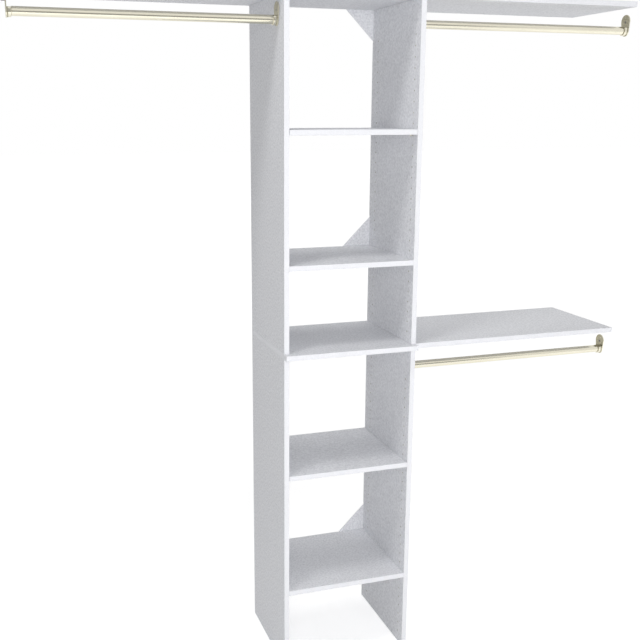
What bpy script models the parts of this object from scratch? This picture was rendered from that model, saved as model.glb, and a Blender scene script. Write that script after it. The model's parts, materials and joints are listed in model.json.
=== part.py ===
"""A closet organizer: a drilled shelf tower with side shelves and telescoping hanging rods.

Two pairs of side panels are stacked on a middle shelf. The tower carries two fixed shelves on cams,
two shelves on pins, a top, three long side shelves and three rods in cup brackets. Thin triangular
gussets, glued in rebates, stiffen the back corners. A glued dowel is one piece with the board that
holds it, and a locked cam is one piece with its bolt.

Lengths are in metres. X runs along the closet wall, -Y is the front and Z is up. The origin is on
the floor, under the middle of the whole organizer.
"""
import math

import bmesh
import bpy
from mathutils import Matrix, Vector

# Fit
FIT_GAP = 0.0003
SHELF_SIDE_GAP = 0.001
OVERRUN = 0.002
WELD = 0.00001

# Boards
BOARD = 0.016
EASED_EDGE = 0.0006
TOWER_WIDTH = 0.433
PANEL_DEPTH = 0.3575
MIDDLE_OVERHANG = 0.0225
LOWER_PANEL_HEIGHT = 1.0407
UPPER_PANEL_HEIGHT = 1.0285
SIDE_REACH = 0.7335
TOP_SIDE_DEPTH = 0.3427
MIDDLE_SIDE_DEPTH = 0.3528

# Gussets: the leg that shows, the thickness, and how far they lie in the rebates round them
GUSSET_LEG = 0.095
GUSSET_BOARD = 0.003
GUSSET_SEAT = 0.006

# Rows of shelf-pin holes
PIN_PITCH = 0.032
PIN_HOLE_RADIUS = 0.0025
PIN_HOLE_DEPTH = 0.010
PIN_HOLE_COUNT = 29
LOWER_FIRST_HOLE = 0.039
UPPER_FIRST_HOLE = 0.034
BACK_ROW_INSET = 0.046
FRONT_ROW_INSET = 0.034
FIXED_SHELF_HOLE = 7
ADJUSTABLE_SHELF_HOLE = 19

# Shelf pins: a round shaft and a half-round ledge
LEDGE_RADIUS = 0.0035
LEDGE_LENGTH = 0.009
PIN_SHAFT_LENGTH = 0.0095

# Cams and the bolts that they draw in
CAM_RADIUS = 0.0072
CAM_HEIGHT = 0.012
CAM_INSET = 0.024
BOLT_THREAD_LENGTH = 0.009
BOLT_COLLAR_RADIUS = 0.0032
BOLT_COLLAR_LENGTH = 0.003
BOLT_NECK_RADIUS = 0.0017

# Dowels
DOWEL_RADIUS = 0.0037
DOWEL_GRIP = 0.018
MIDDLE_DOWEL_GRIP = 0.025
END_DOWEL_INSET = 0.050
SIDE_DOWEL_BACK_INSET = 0.100
SIDE_DOWEL_FRONT_INSET = 0.250

# Screws in the tower top
TOP_SCREW_RADIUS = 0.0024
TOP_SCREW_HEAD_RADIUS = 0.0045
TOP_SCREW_HEAD_HEIGHT = 0.0025
TOP_SCREW_LENGTH = 0.050

# Hanging rods
ROD_BACK_INSET = 0.294
UPPER_ROD_DROP = 0.068
MIDDLE_ROD_DROP = 0.070
TUBE_RADIUS = 0.0125
TUBE_WALL = 0.001
TUBE_STOP_GAP = 0.0009
INNER_TUBE_START = 0.030

# Rod brackets
PLATE = 0.003
FOOT_RADIUS = 0.0175
LOBE_RADIUS = 0.021
LOBE_RISE = 0.028
CUP_WALL = 0.0027
CUP_REACH = 0.011
CUP_ARM_RISE = 0.009
CUP_FLARE = 0.0015
CUP_FLARE_REACH = 0.0035
BRACKET_SCREW_RADIUS = 0.0018
BRACKET_SCREW_HEAD_RADIUS = 0.004
BRACKET_SCREW_HEAD_HEIGHT = 0.0022
BRACKET_SCREW_LENGTH = 0.015
BRACKET_SCREW_RISE = 0.026
SCREW_POINT_LENGTH = 0.003

# Facets of round pieces
HOLE_SIDES = 6
CAM_SIDES = 12
SCREW_SIDES = 10
TUBE_SIDES = 24
LEDGE_STEPS = 6
LOBE_STEPS = 12
FOOT_STEPS = 10

# Places that follow from the sizes
HALF_WIDTH = TOWER_WIDTH / 2
INNER_X = HALF_WIDTH - BOARD
MID_BOARD_X = HALF_WIDTH - BOARD / 2
FIXED_END_X = INNER_X - FIT_GAP
SIDE_END_X = HALF_WIDTH + SIDE_REACH
MIDDLE_DEPTH = PANEL_DEPTH + MIDDLE_OVERHANG
BACK_Y = MIDDLE_DEPTH / 2
PANEL_FRONT_Y = BACK_Y - PANEL_DEPTH
ROD_Y = BACK_Y - ROD_BACK_INSET
MIDDLE_Z = LOWER_PANEL_HEIGHT + FIT_GAP
UPPER_PANEL_Z = MIDDLE_Z + BOARD + FIT_GAP
TOP_Z = UPPER_PANEL_Z + UPPER_PANEL_HEIGHT + FIT_GAP
LOWER_HOLES_Z = LOWER_FIRST_HOLE
UPPER_HOLES_Z = UPPER_PANEL_Z + UPPER_FIRST_HOLE
FIXED_RISE = PIN_PITCH * FIXED_SHELF_HOLE - BOARD / 2
ADJUSTABLE_RISE = PIN_PITCH * ADJUSTABLE_SHELF_HOLE + FIT_GAP
PIN_SHAFT_RADIUS = PIN_HOLE_RADIUS - FIT_GAP
INNER_TUBE_RADIUS = TUBE_RADIUS - TUBE_WALL - FIT_GAP
CUP_OUTER_RADIUS = TUBE_RADIUS + FIT_GAP + CUP_WALL
DOWEL_BORE = DOWEL_RADIUS + FIT_GAP

X_AXIS = Vector((1, 0, 0))
Y_AXIS = Vector((0, 1, 0))
Z_AXIS = Vector((0, 0, 1))
SIDES = (("left", -1), ("right", 1))
PIN_ROWS = (("back", BACK_Y - BACK_ROW_INSET), ("front", PANEL_FRONT_Y + FRONT_ROW_INSET))
END_ROWS = (("back", BACK_Y - END_DOWEL_INSET), ("front", PANEL_FRONT_Y + END_DOWEL_INSET))
SIDE_DOWEL_YS = (BACK_Y - SIDE_DOWEL_BACK_INSET, BACK_Y - SIDE_DOWEL_FRONT_INSET)

# The two levels: name, height of the panels' foot, their height and the height of their first hole
LEVELS = (
    ("lower", 0, LOWER_PANEL_HEIGHT, LOWER_HOLES_Z),
    ("upper", UPPER_PANEL_Z, UPPER_PANEL_HEIGHT, UPPER_HOLES_Z),
)

# Gussets: name, height of the face they meet, and +1 on that face or -1 under it
GUSSETS = (
    ("top", TOP_Z, -1),
    ("upper_shelf", UPPER_HOLES_Z + FIXED_RISE + BOARD, 1),
    ("lower_shelf", LOWER_HOLES_Z + FIXED_RISE + BOARD, 1),
)

# Rods: name, side and height of the axis
RODS = (
    ("left_rod", -1, TOP_Z - UPPER_ROD_DROP),
    ("right_top_rod", 1, TOP_Z - UPPER_ROD_DROP),
    ("right_middle_rod", 1, MIDDLE_Z - MIDDLE_ROD_DROP),
)


def new_collections():
    """Remove whatever the scene holds and make the collections of parts and of cutters."""
    for thing in list(bpy.data.objects):
        bpy.data.objects.remove(thing)
    made = []
    for name in ("closet_organizer", "cutters"):
        collection = bpy.data.collections.new(name)
        bpy.context.scene.collection.children.link(collection)
        made.append(collection)
    return made


PARTS, CUTTERS = new_collections()


def finish(name, colour, roughness, metallic):
    """Return a Principled material."""
    made = bpy.data.materials.new(name)
    made.use_nodes = True
    shader = made.node_tree.nodes["Principled BSDF"]
    shader.inputs["Base Color"].default_value = (*colour, 1)
    shader.inputs["Roughness"].default_value = roughness
    shader.inputs["Metallic"].default_value = metallic
    return made


LAMINATE = finish("white_laminate", (0.84, 0.85, 0.87), 0.45, 0)
NICKEL = finish("satin_nickel", (0.74, 0.70, 0.60), 0.32, 1)
STEEL = finish("zinc_plated_steel", (0.62, 0.62, 0.62), 0.4, 1)
CAM_ALLOY = finish("zinc_die_casting", (0.50, 0.50, 0.52), 0.5, 1)


def solid_mesh(name, bm):
    """Turn a bmesh into a mesh whose faces point outwards."""
    bmesh.ops.recalc_face_normals(bm, faces=bm.faces)
    mesh = bpy.data.meshes.new(name)
    bm.to_mesh(mesh)
    bm.free()
    return mesh


def helper(name, data):
    """Link a cutter, a guide or a shape in the making, which is not itself a part."""
    thing = bpy.data.objects.new(name, data)
    thing.hide_render = True
    thing.display_type = "WIRE"
    CUTTERS.objects.link(thing)
    return thing


def baked_mesh(source):
    """Turn a curve or a modified helper into a welded mesh and remove the helper."""
    bpy.context.view_layer.update()
    depsgraph = bpy.context.evaluated_depsgraph_get()
    mesh = bpy.data.meshes.new_from_object(source.evaluated_get(depsgraph))
    mesh.transform(source.matrix_world)
    bpy.data.objects.remove(source)
    bm = bmesh.new()
    bm.from_mesh(mesh)
    bmesh.ops.remove_doubles(bm, verts=bm.verts, dist=WELD)
    return solid_mesh(mesh.name, bm)


def add_part(name, mesh, material, place=None):
    """Link a part, with its material, at a placing matrix. Parts of one kind share their mesh."""
    mesh.materials.clear()
    mesh.materials.append(material)
    part = bpy.data.objects.new(name, mesh)
    PARTS.objects.link(part)
    if place:
        part.matrix_world = place
    return part


def smooth(mesh, angle=math.radians(35)):
    """Shade a round piece's mesh smooth, with its corners kept sharp."""
    mesh.shade_smooth()
    mesh.set_sharp_from_angle(angle=angle)
    return mesh


def standing(point, direction):
    """Return the matrix that puts the origin at a point and local Z along a direction."""
    return Matrix.Translation(point) @ direction.to_track_quat("Z", "Y").to_matrix().to_4x4()


def facing(point, outwards):
    """Return the matrix that puts local Z along a level direction and local Y upwards."""
    columns = (Z_AXIS.cross(outwards), Z_AXIS, outwards)
    return Matrix.Translation(point) @ Matrix(columns).transposed().to_4x4()


def add_box(bm, low, high):
    """Add a box between two corners to a bmesh."""
    size = Vector(high) - Vector(low)
    middle = (Vector(high) + Vector(low)) / 2
    bmesh.ops.create_cube(bm, size=1, matrix=Matrix.Translation(middle) @ Matrix.Diagonal((*size, 1)))


def add_rod(bm, start, direction, length, radius, sides=HOLE_SIDES):
    """Add a closed cylinder to a bmesh, from a start point along a direction."""
    bmesh.ops.create_cone(
        bm,
        cap_ends=True,
        segments=sides,
        radius1=radius,
        radius2=radius,
        depth=length,
        matrix=standing(start + direction * (length / 2), direction),
    )


def drill(bm, mouth, direction, depth, radius, sides=HOLE_SIDES):
    """Add a drill to a cutter: it runs in from outside the mouth to a depth."""
    add_rod(bm, mouth - direction * OVERRUN, direction, depth + OVERRUN, radius, sides)


def add_copy(bm, mesh, place):
    """Add a copy of a mesh to a bmesh at a placing matrix."""
    known = len(bm.verts)
    bm.from_mesh(mesh)
    bm.verts.ensure_lookup_table()
    bmesh.ops.transform(bm, matrix=place, verts=bm.verts[known:])


def combine(part, what, operation, add_solids):
    """Cut from a part, or join to it, the solids that a function adds to a bmesh."""
    bm = bmesh.new()
    add_solids(bm)
    name = f"{part.name}_{what}"
    step = part.modifiers.new(what, "BOOLEAN")
    step.operation = operation
    step.solver = "EXACT"
    step.object = helper(name, solid_mesh(name, bm))


def board(name, low, high, bores=None, fittings=None):
    """Make a board between two corners: edges eased, bores drilled, then its fittings set in it."""
    middle = (Vector(low) + Vector(high)) / 2
    bm = bmesh.new()
    add_box(bm, Vector(low) - middle, Vector(high) - middle)
    part = add_part(name, solid_mesh(name, bm), LAMINATE, Matrix.Translation(middle))
    ease = part.modifiers.new("eased_edges", "BEVEL")
    ease.width = EASED_EDGE
    ease.segments = 1
    if bores:
        combine(part, "bores", "DIFFERENCE", bores)
    if fittings:
        combine(part, "fittings", "UNION", fittings)
    return part


def flat_outline(name, points, thickness):
    """Return the mesh of a flat closed outline, centred on its plane and as thick as given."""
    curve = bpy.data.curves.new(name, "CURVE")
    curve.dimensions = "2D"
    curve.fill_mode = "BOTH"
    curve.extrude = thickness / 2
    add_poly_spline(curve, points, closed=True)
    return baked_mesh(helper(name, curve))


def add_poly_spline(curve, points, closed):
    """Add a straight-edged spline through points in the curve's plane."""
    spline = curve.splines.new("POLY")
    spline.points.add(len(points) - 1)
    for place, (x, y) in zip(spline.points, points):
        place.co = (x, y, 0, 1)
    spline.use_cyclic_u = closed


def arc_points(centre, radius, start, stop, steps):
    """Return points round an arc, from one angle to another."""
    angles = [start + (stop - start) * step / steps for step in range(steps + 1)]
    return [(centre[0] + radius * math.cos(a), centre[1] + radius * math.sin(a)) for a in angles]


def turned(name, profile, sides, ring=False):
    """Return the mesh of a profile of radius and height, run down its outer side, turned about Z."""
    bm = bmesh.new()
    corners = [bm.verts.new((radius, 0, height)) for radius, height in profile]
    for upper, lower in zip(corners, corners[1:]):
        bm.edges.new((upper, lower))
    if ring:
        bm.edges.new((corners[-1], corners[0]))
    mesh = bpy.data.meshes.new(name)
    bm.to_mesh(mesh)
    bm.free()
    spun = helper(name, mesh)
    turn = spun.modifiers.new("turn", "SCREW")
    turn.steps = sides
    turn.render_steps = sides
    turn.use_merge_vertices = True
    turn.merge_threshold = WELD
    return smooth(baked_mesh(spun))


def screw_mesh(name, head_radius, head_height, shank_radius, length):
    """Return a countersunk screw: the top of its head is at the origin, its point below."""
    profile = [
        (0, 0),
        (head_radius, 0),
        (shank_radius, -head_height),
        (shank_radius, SCREW_POINT_LENGTH - length),
        (0, -length),
    ]
    return turned(name, profile, SCREW_SIDES)


def countersink_mesh(name, head_radius, head_height, shank_radius, depth):
    """Return the cutter for a countersunk hole through a depth, with its mouth at the origin."""
    profile = [
        (0, OVERRUN),
        (head_radius + FIT_GAP, OVERRUN),
        (head_radius + FIT_GAP, -FIT_GAP),
        (shank_radius + FIT_GAP, -head_height - FIT_GAP),
        (shank_radius + FIT_GAP, -depth - OVERRUN),
        (0, -depth - OVERRUN),
    ]
    return turned(name, profile, SCREW_SIDES)


def cut_rebate(bm, side, board_z, way):
    """Add to a cutter the rebate that a gusset lies in, at the back of a panel or a board."""
    seat = GUSSET_SEAT + FIT_GAP
    reach = GUSSET_LEG + seat
    xs = sorted((side * (INNER_X + seat), side * (INNER_X - reach)))
    zs = sorted((board_z - way * seat, board_z + way * reach))
    low = (xs[0], BACK_Y - GUSSET_BOARD - FIT_GAP, zs[0])
    high = (xs[1], BACK_Y + OVERRUN, zs[1])
    add_box(bm, low, high)


def side_dowel_mouths(side, board_z):
    """Return where a side shelf's dowels enter the end of the board that it butts."""
    return [Vector((side * HALF_WIDTH, y, board_z + BOARD / 2)) for y in SIDE_DOWEL_YS]


def drill_panel(bm, level, side, low_z, high_z, first_hole_z):
    """Drill the holes of one side panel and cut what its neighbours enter."""
    outwards = X_AXIS * side
    for index in range(PIN_HOLE_COUNT):
        for _, y in PIN_ROWS:
            mouth = Vector((side * INNER_X, y, first_hole_z + PIN_PITCH * index))
            drill(bm, mouth, outwards, PIN_HOLE_DEPTH, PIN_HOLE_RADIUS)
    for _, board_z, way in GUSSETS:
        if low_z < board_z + way * GUSSET_LEG < high_z:
            cut_rebate(bm, side, board_z, way)
    for _, rod_side, rod_z in RODS:
        if rod_side == side and low_z < rod_z < high_z:
            for z in (rod_z, rod_z + BRACKET_SCREW_RISE):
                mouth = Vector((side * HALF_WIDTH, ROD_Y, z))
                depth = BRACKET_SCREW_LENGTH - PLATE + FIT_GAP
                drill(bm, mouth, -outwards, depth, BRACKET_SCREW_RADIUS + FIT_GAP, SCREW_SIDES)
    for _, y in END_ROWS:
        top = Vector((side * MID_BOARD_X, y, high_z))
        foot = Vector((side * MID_BOARD_X, y, low_z))
        if level == "upper":
            drill(bm, foot, Z_AXIS, MIDDLE_DOWEL_GRIP + FIT_GAP, DOWEL_BORE)
            depth = TOP_SCREW_LENGTH - BOARD
            drill(bm, top, -Z_AXIS, depth, TOP_SCREW_RADIUS + FIT_GAP, SCREW_SIDES)


def side_panels():
    """Make the four side panels. The lower ones hold the dowels that pass through the middle shelf."""
    for level, low_z, height, first_hole_z in LEVELS:
        for side_name, side in SIDES:
            def bores(bm):
                """Drill this panel."""
                drill_panel(bm, level, side, low_z, low_z + height, first_hole_z)

            def dowels(bm):
                """Set the long dowels in this panel's upper end."""
                for _, y in END_ROWS:
                    foot = Vector((side * MID_BOARD_X, y, low_z + height - MIDDLE_DOWEL_GRIP))
                    length = UPPER_PANEL_Z + MIDDLE_DOWEL_GRIP - foot.z
                    add_rod(bm, foot, Z_AXIS, length, DOWEL_RADIUS)

            xs = sorted((side * INNER_X, side * HALF_WIDTH))
            low = (xs[0], PANEL_FRONT_Y, low_z)
            high = (xs[1], BACK_Y, low_z + height)
            name = f"{level}_{side_name}_panel"
            board(name, low, high, bores, dowels if level == "lower" else None)


def middle_shelf():
    """Make the middle shelf, which the panels' long dowels pass through."""
    def bores(bm):
        """Drill it through for the long dowels, and its right end for the side shelf."""
        for _, side in SIDES:
            for _, y in END_ROWS:
                mouth = Vector((side * MID_BOARD_X, y, MIDDLE_Z))
                drill(bm, mouth, Z_AXIS, BOARD + OVERRUN, DOWEL_BORE)
        for mouth in side_dowel_mouths(1, MIDDLE_Z):
            drill(bm, mouth, -X_AXIS, DOWEL_GRIP, DOWEL_BORE)

    low = (-HALF_WIDTH, BACK_Y - MIDDLE_DEPTH, MIDDLE_Z)
    high = (HALF_WIDTH, BACK_Y, MIDDLE_Z + BOARD)
    board("middle_shelf", low, high, bores)


def tower_top():
    """Make the tower's top and the four screws that hold it down."""
    sizes = (TOP_SCREW_HEAD_RADIUS, TOP_SCREW_HEAD_HEIGHT, TOP_SCREW_RADIUS)
    countersink = countersink_mesh("top_countersink", *sizes, BOARD)
    screw = screw_mesh("top_screw", *sizes, TOP_SCREW_LENGTH)
    places = {}
    for side_name, side in SIDES:
        for row, y in END_ROWS:
            head = Vector((side * MID_BOARD_X, y, TOP_Z + BOARD))
            places[f"tower_top_screw_{row}_{side_name}"] = Matrix.Translation(head)

    def bores(bm):
        """Drill the tower's top and cut the rebates in its underside."""
        for place in places.values():
            add_copy(bm, countersink, place)
        for _, side in SIDES:
            for mouth in side_dowel_mouths(side, TOP_Z):
                drill(bm, mouth, X_AXIS * -side, DOWEL_GRIP, DOWEL_BORE)
            cut_rebate(bm, side, TOP_Z, -1)

    low = (-HALF_WIDTH, PANEL_FRONT_Y, TOP_Z)
    high = (HALF_WIDTH, BACK_Y, TOP_Z + BOARD)
    board("tower_top", low, high, bores)
    for name, place in places.items():
        add_part(name, screw, STEEL, place)


def cam_fitting_mesh():
    """Return a cam locked on its bolt. The origin is where the bolt enters the panel, along -Z."""
    shelf_middle = BOARD / 2 - FIT_GAP
    bm = bmesh.new()
    foot = Vector((0, -shelf_middle, FIT_GAP + CAM_INSET))
    add_rod(bm, foot, Y_AXIS, CAM_HEIGHT, CAM_RADIUS, CAM_SIDES)
    fitting = helper("cam_fitting", solid_mesh("cam_fitting", bm))
    collar_top = FIT_GAP + BOLT_COLLAR_LENGTH
    thread_top = FIT_GAP + BOLT_COLLAR_LENGTH / 2
    runs = (
        ("neck", FIT_GAP + CAM_INSET, FIT_GAP, BOLT_NECK_RADIUS, SCREW_SIDES),
        ("collar", collar_top, FIT_GAP, BOLT_COLLAR_RADIUS, SCREW_SIDES),
        ("thread", thread_top, -BOLT_THREAD_LENGTH, PIN_SHAFT_RADIUS, HOLE_SIDES),
    )
    for what, top, low, radius, sides in runs:
        def run(bm):
            """Join this run of the bolt."""
            add_rod(bm, Z_AXIS * top, -Z_AXIS, top - low, radius, sides)

        combine(fitting, what, "UNION", run)
    return smooth(baked_mesh(fitting))


def fixed_shelves():
    """Make both fixed shelves, and the cams with which their bolts hold them."""
    fitting = cam_fitting_mesh()
    for level, _, _, first_hole_z in LEVELS:
        low_z = first_hole_z + FIXED_RISE

        def recesses(bm):
            """Drill the cam recesses and cut the rebates for the gussets."""
            for _, side in SIDES:
                for _, y in PIN_ROWS:
                    mouth = Vector((side * (FIXED_END_X - CAM_INSET), y, low_z))
                    depth = CAM_HEIGHT + 2 * FIT_GAP
                    drill(bm, mouth, Z_AXIS, depth, CAM_RADIUS + FIT_GAP, CAM_SIDES)
                cut_rebate(bm, side, low_z + BOARD, 1)

        def bolt_bores(bm):
            """Drill the bores that run in from the shelf's ends to the recesses."""
            for _, side in SIDES:
                for _, y in PIN_ROWS:
                    mouth = Vector((side * FIXED_END_X, y, low_z + BOARD / 2))
                    depth = CAM_INSET - CAM_RADIUS / 2
                    radius = BOLT_COLLAR_RADIUS + FIT_GAP
                    drill(bm, mouth, X_AXIS * -side, depth, radius, SCREW_SIDES)

        low = (-FIXED_END_X, PANEL_FRONT_Y, low_z)
        high = (FIXED_END_X, BACK_Y, low_z + BOARD)
        shelf = board(f"{level}_fixed_shelf", low, high, recesses)
        combine(shelf, "bolt_bores", "DIFFERENCE", bolt_bores)
        for side_name, side in SIDES:
            for row, y in PIN_ROWS:
                mouth = Vector((side * INNER_X, y, low_z + BOARD / 2))
                place = facing(mouth, X_AXIS * -side)
                add_part(f"{level}_shelf_cam_{row}_{side_name}", fitting, CAM_ALLOY, place)


def shelf_pin_mesh():
    """Return a pin: its shaft runs down from the origin, its ledge is above it and flat at +Y."""
    outline = arc_points((0, 0), LEDGE_RADIUS, -math.pi, 0, LEDGE_STEPS)
    ledge = flat_outline("pin_ledge", outline, LEDGE_LENGTH)
    ledge.transform(Matrix.Translation(Z_AXIS * (FIT_GAP + LEDGE_LENGTH / 2)))
    pin = helper("shelf_pin", ledge)

    def shaft(bm):
        """Join the shaft, which reaches into the ledge."""
        start = Z_AXIS * (FIT_GAP + OVERRUN)
        add_rod(bm, start, -Z_AXIS, FIT_GAP + OVERRUN + PIN_SHAFT_LENGTH, PIN_SHAFT_RADIUS)

    def over_ledge(bm):
        """Cut away what stands above the ledge's flat."""
        low = (-LEDGE_RADIUS, 0, FIT_GAP)
        high = (LEDGE_RADIUS, LEDGE_RADIUS, FIT_GAP + LEDGE_LENGTH)
        add_box(bm, low, high)

    combine(pin, "shaft", "UNION", shaft)
    combine(pin, "over_ledge", "DIFFERENCE", over_ledge)
    return smooth(baked_mesh(pin))


def adjustable_shelves():
    """Make both adjustable shelves and the four pins under each."""
    pin = shelf_pin_mesh()
    end_x = INNER_X - SHELF_SIDE_GAP
    for level, _, _, first_hole_z in LEVELS:
        low_z = first_hole_z + ADJUSTABLE_RISE
        low = (-end_x, PANEL_FRONT_Y, low_z)
        high = (end_x, BACK_Y, low_z + BOARD)
        board(f"{level}_adjustable_shelf", low, high)
        for side_name, side in SIDES:
            for row, y in PIN_ROWS:
                mouth = Vector((side * INNER_X, y, low_z - FIT_GAP))
                name = f"{level}_shelf_pin_{row}_{side_name}"
                add_part(name, pin, NICKEL, facing(mouth, X_AXIS * -side))


def side_shelf(name, side, low_z, depth):
    """Make a side shelf that butts the tower, with its two dowels."""
    near_x = side * (HALF_WIDTH + FIT_GAP)
    far_x = side * SIDE_END_X

    def dowels(bm):
        """Set the dowels in the end at the tower."""
        for mouth in side_dowel_mouths(side, low_z):
            tip = mouth - X_AXIS * side * (DOWEL_GRIP - FIT_GAP)
            add_rod(bm, tip, X_AXIS * side, 2 * DOWEL_GRIP, DOWEL_RADIUS)

    low = (min(near_x, far_x), BACK_Y - depth, low_z)
    high = (max(near_x, far_x), BACK_Y, low_z + BOARD)
    board(name, low, high, fittings=dowels)


def gussets():
    """Make the thin triangular gussets in the back corners, flush with the back."""
    tip = GUSSET_LEG + GUSSET_SEAT
    triangle = [(-GUSSET_SEAT, -GUSSET_SEAT), (tip, -GUSSET_SEAT), (-GUSSET_SEAT, tip)]
    for level, board_z, way in GUSSETS:
        for side_name, side in SIDES:
            name = f"{level}_{side_name}_gusset"
            corner = (
                (-side, 0, 0, side * INNER_X),
                (0, 0, 1, BACK_Y - GUSSET_BOARD / 2),
                (0, way, 0, board_z),
                (0, 0, 0, 1),
            )
            bm = bmesh.new()
            add_copy(bm, flat_outline(name, triangle, GUSSET_BOARD), Matrix(corner))
            add_part(name, solid_mesh(name, bm), LAMINATE)


def plate_points():
    """Return a bracket plate's outline: a round foot, a wider round lobe and their tangents."""
    lean = math.asin((LOBE_RADIUS - FOOT_RADIUS) / LOBE_RISE)
    lobe = arc_points((0, LOBE_RISE), LOBE_RADIUS, -lean, math.pi + lean, LOBE_STEPS)
    foot = arc_points((0, 0), FOOT_RADIUS, math.pi + lean, 2 * math.pi - lean, FOOT_STEPS)
    return lobe + foot


def cup_mesh(bore_radius):
    """Return a U-shaped cup: its wall's section, flared at the root, is carried round the U."""
    wall = CUP_OUTER_RADIUS - bore_radius
    root = PLATE / 2
    mouth = PLATE + CUP_REACH
    flare_end = PLATE + CUP_FLARE_REACH
    section = bpy.data.curves.new("cup_section", "CURVE")
    section.dimensions = "2D"
    corners = [(0, root), (wall + CUP_FLARE, root), (wall, flare_end), (wall, mouth), (0, mouth)]
    add_poly_spline(section, corners, closed=True)
    guide = helper("cup_section", section)
    sweep = bpy.data.curves.new("cup", "CURVE")
    sweep.dimensions = "2D"
    sweep.bevel_mode = "OBJECT"
    sweep.bevel_object = guide
    sweep.use_fill_caps = True
    under = arc_points((0, 0), bore_radius, -math.pi, 0, TUBE_SIDES // 2)
    path = [(-bore_radius, CUP_ARM_RISE), *under, (bore_radius, CUP_ARM_RISE)]
    add_poly_spline(sweep, path, closed=False)
    mesh = baked_mesh(helper("cup", sweep))
    bpy.data.objects.remove(guide)
    return mesh


def bracket_mesh(name, bore_radius):
    """Return a bracket: its back lies in the origin's plane, its cup reaches out along local Z."""
    plate = flat_outline(name, plate_points(), PLATE)
    plate.transform(Matrix.Translation(Z_AXIS * (PLATE / 2)))
    bracket = helper(name, plate)

    def fittings(bm):
        """Join the cup, and the lower screw, whose flush head the tube's end covers."""
        add_copy(bm, cup_mesh(bore_radius), Matrix())
        length = BRACKET_SCREW_LENGTH - PLATE / 2
        add_rod(bm, Z_AXIS * (PLATE / 2), -Z_AXIS, length, BRACKET_SCREW_RADIUS, SCREW_SIDES)

    def bores(bm):
        """Cut the upper screw's countersunk hole."""
        sizes = (BRACKET_SCREW_HEAD_RADIUS, BRACKET_SCREW_HEAD_HEIGHT, BRACKET_SCREW_RADIUS)
        add_copy(bm, countersink_mesh(name, *sizes, PLATE), upper_screw_place())

    combine(bracket, "fittings", "UNION", fittings)
    combine(bracket, "bores", "DIFFERENCE", bores)
    return smooth(baked_mesh(bracket))


def upper_screw_place():
    """Return the place of a bracket's upper screw, in the bracket's own frame."""
    return Matrix.Translation((0, BRACKET_SCREW_RISE, PLATE))


def tube(name, radius, start, end):
    """Make a tube between two places, with its origin on its axis."""
    bore = radius - TUBE_WALL
    length = (end - start).length
    profile = [(radius, length), (radius, 0), (bore, 0), (bore, length)]
    mesh = turned(name, profile, TUBE_SIDES, ring=True)
    return add_part(name, mesh, NICKEL, standing(start, (end - start).normalized()))


def hanging_rods():
    """Make the three telescoping rods with their brackets and upper screws."""
    tower_bracket = bracket_mesh("tower_bracket", TUBE_RADIUS + FIT_GAP)
    wall_bracket = bracket_mesh("wall_bracket", INNER_TUBE_RADIUS + FIT_GAP)
    sizes = (BRACKET_SCREW_HEAD_RADIUS, BRACKET_SCREW_HEAD_HEIGHT, BRACKET_SCREW_RADIUS)
    screw = screw_mesh("bracket_screw", *sizes, BRACKET_SCREW_LENGTH)
    for name, side, rod_z in RODS:
        outwards = X_AXIS * side
        at_tower = Vector((side * (HALF_WIDTH + FIT_GAP), ROD_Y, rod_z))
        at_wall = Vector((side * SIDE_END_X, ROD_Y, rod_z))
        tube_start = at_tower + outwards * (PLATE + FIT_GAP)
        tube_end = at_wall - outwards * (PLATE + CUP_REACH + TUBE_STOP_GAP)
        inner_end = at_wall - outwards * (PLATE + FIT_GAP)
        tube(f"{name}_outer_tube", TUBE_RADIUS, tube_start, tube_end)
        inner_start = tube_start + outwards * INNER_TUBE_START
        inner = tube(f"{name}_inner_tube", INNER_TUBE_RADIUS, inner_start, inner_end)
        at_tower_place = facing(at_tower, outwards)
        add_part(f"{name}_tower_bracket", tower_bracket, NICKEL, at_tower_place)
        add_part(f"{name}_tower_screw", screw, STEEL, at_tower_place @ upper_screw_place())
        at_wall_place = facing(at_wall, -outwards)
        bracket = add_part(f"{name}_wall_bracket", wall_bracket, NICKEL, at_wall_place)
        wall_screw_place = at_wall_place @ upper_screw_place()
        wall_screw = add_part(f"{name}_wall_screw", screw, STEEL, wall_screw_place)
        slide = bpy.data.objects.new(f"{name}_slide", None)
        slide.matrix_world = Matrix.Translation(at_wall)
        PARTS.objects.link(slide)
        for part in (inner, bracket, wall_screw):
            part.parent = slide
            part.matrix_parent_inverse = Matrix.Translation(-at_wall)


def main():
    """Build the whole organizer."""
    side_panels()
    middle_shelf()
    tower_top()
    fixed_shelves()
    adjustable_shelves()
    side_shelf("left_top_shelf", -1, TOP_Z, TOP_SIDE_DEPTH)
    side_shelf("right_top_shelf", 1, TOP_Z, TOP_SIDE_DEPTH)
    side_shelf("right_middle_shelf", 1, MIDDLE_Z, MIDDLE_SIDE_DEPTH)
    gussets()
    hanging_rods()


main()
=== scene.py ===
"""A closet organizer, dressed: laminated boards, telescoping nickel rods, fittings and a studio.

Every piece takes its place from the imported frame. Lengths are in metres. X runs along the closet
wall, -Y is the front and Z is up.
"""

from __future__ import annotations

import enum
import itertools
import json
import logging
import math
from collections.abc import Iterable
from dataclasses import dataclass, field

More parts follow.
